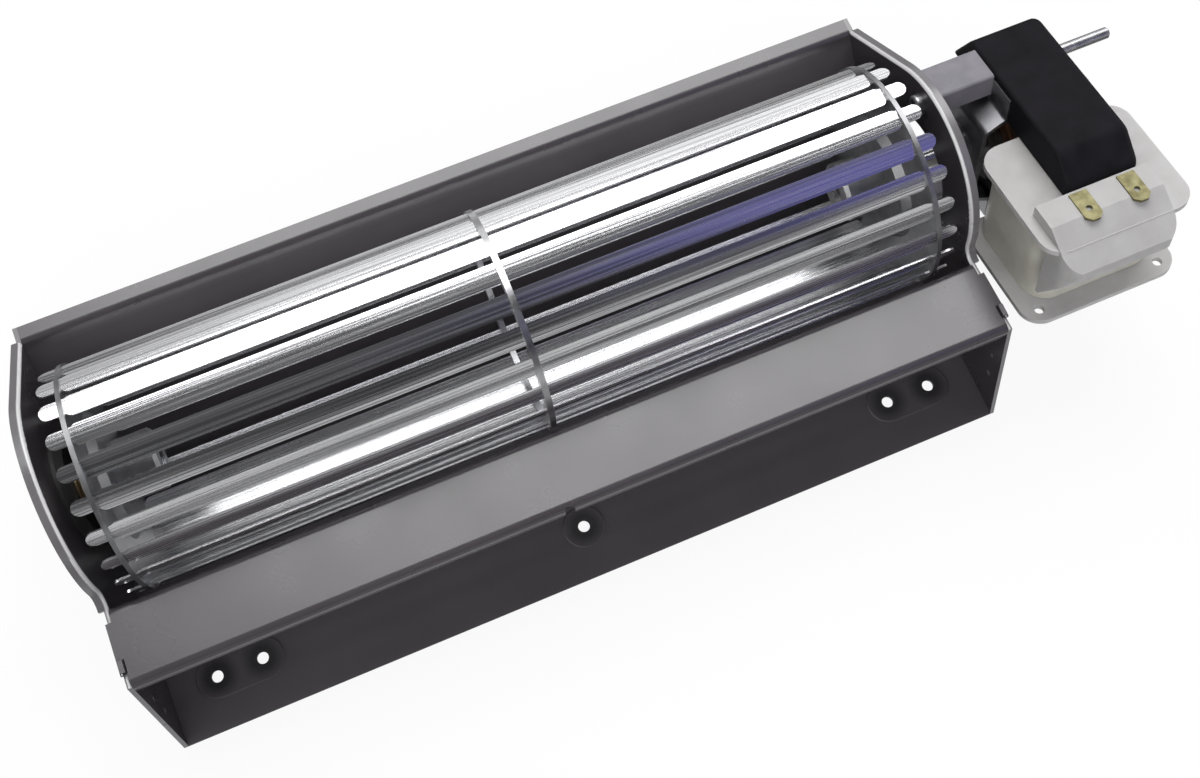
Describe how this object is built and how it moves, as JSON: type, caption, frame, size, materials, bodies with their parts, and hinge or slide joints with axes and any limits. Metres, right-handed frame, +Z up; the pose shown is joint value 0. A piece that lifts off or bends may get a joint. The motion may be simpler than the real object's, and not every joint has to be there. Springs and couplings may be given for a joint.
{
  "type": "cross flow fan",
  "caption": "Cross flow fan: long bladed aluminium wheel in a folded dark sheet duct, turned by a shaded pole motor with a white bobbin at one end.",
  "frame": {"origin": "on the underside of the duct's floor, under the wheel's axis, midway between the end plates", "axes": "+X along the wheel's axis towards the motor, -Y the way the air leaves, +Z up from the floor"},
  "size_m": [0.2953, 0.1101, 0.0684],
  "materials": {
    "painted_sheet": "satin dark grey paint",
    "wheel_aluminium": "polished",
    "hub_metal": "as cast",
    "shaft_steel": "ground",
    "screw_steel": "zinc plated",
    "bracket_steel": "zinc plated",
    "rotor_steel": "turned",
    "lamination_steel": "varnished",
    "black_cover": "black, matt",
    "sintered_bronze": "oiled",
    "copper": "enamelled",
    "terminal_brass": "dull",
    "grommet_rubber": "matt",
    "washer_plastic": "plain",
    "white_nylon": "milky",
    "coil_tape": "taped"
  },
  "bodies": {
    "housing": {"scroll_sheet": "painted_sheet", "tongue_sheet": "painted_sheet", "end_plate_left": "painted_sheet", "end_plate_right": "painted_sheet", "bearing_grommet": "grommet_rubber", "bearing_bush": "sintered_bronze", "thrust_washers": "washer_plastic", "stator_stack": "lamination_steel", "stack_cover": "black_cover", "shading_rings": "copper", "coil_bobbin": "white_nylon", "coil_winding": "copper", "coil_wrap": "coil_tape", "spade_terminals": "terminal_brass", "bearing_bracket_inner": "bracket_steel", "bearing_bracket_outer": "bracket_steel", "motor_bush_inner": "sintered_bronze", "motor_bush_outer": "sintered_bronze", "motor_spacer_upper": "bracket_steel", "motor_spacer_lower": "bracket_steel", "motor_screws": "screw_steel"},
    "rotor": {"wheel_blades": "wheel_aluminium", "wheel_disc_left": "wheel_aluminium", "wheel_disc_right": "wheel_aluminium", "wheel_middle_ring": "wheel_aluminium", "wheel_hub_left": "hub_metal", "wheel_hub_right": "hub_metal", "stub_shaft": "shaft_steel", "set_screws": "shaft_steel", "motor_shaft": "shaft_steel", "motor_rotor": "rotor_steel"}
  },
  "joints": [
    {"name": "wheel_spin", "type": "hinge", "parent": "housing", "child": "rotor", "pos_m": [0, 0, 0.036], "axis": [1, 0, 0], "continuous": true}
  ]
}
